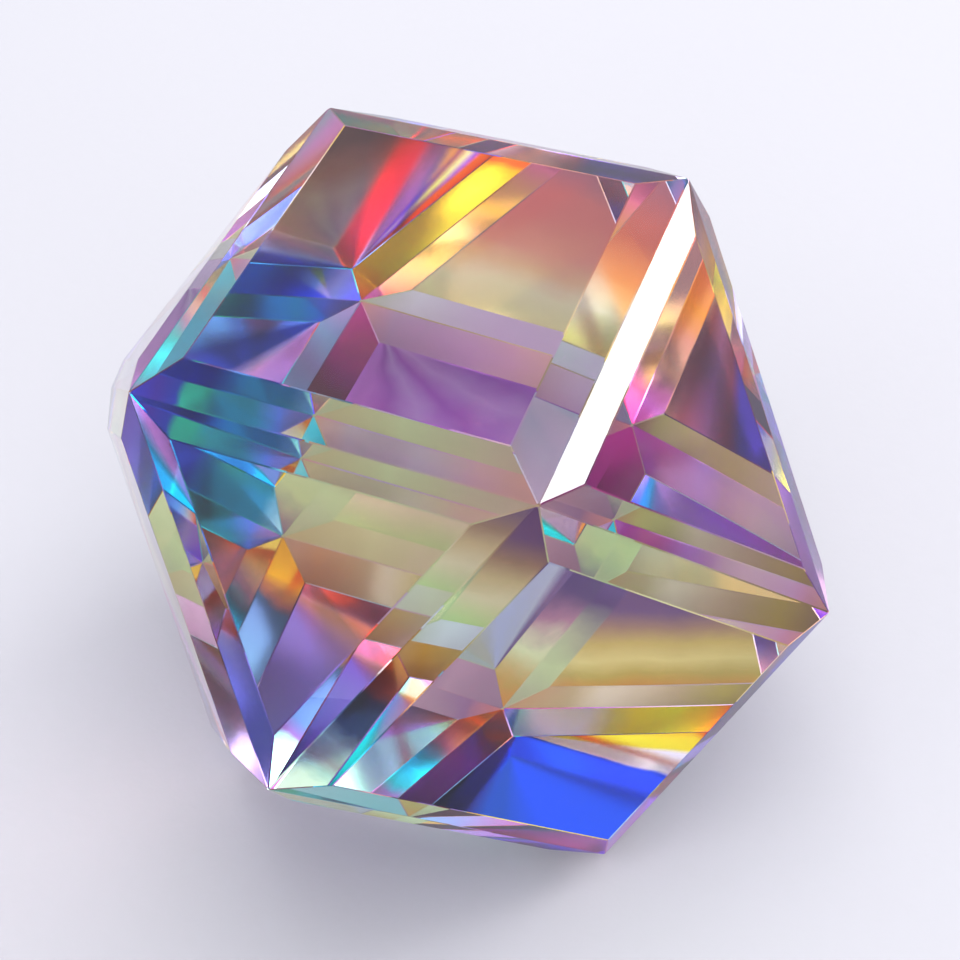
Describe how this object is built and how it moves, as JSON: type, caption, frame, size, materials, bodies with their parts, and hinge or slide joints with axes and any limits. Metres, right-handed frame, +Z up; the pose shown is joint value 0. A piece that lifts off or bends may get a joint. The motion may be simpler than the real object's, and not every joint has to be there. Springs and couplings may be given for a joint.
{
  "type": "cut mystic topaz gemstone",
  "caption": "Loose clear gemstone cut with framed square and triangular facets, under a thin coating that flashes every colour; it rests on a flat facet.",
  "frame": {"origin": "on the bottom table, under the middle of the stone's outline", "axes": "+Z up out of the top table, -Y out of the square facet that faces the front, +X out of the square facet on the right"},
  "size_m": [0.0374, 0.0374, 0.0386],
  "materials": {
    "coated_topaz": "polished flat facets on clear topaz, index 1.62, under a thin-film coating that shows blue, cyan, violet, magenta, amber and green"
  },
  "bodies": {
    "root": {"stone": "coated_topaz"}
  },
  "joints": []
}
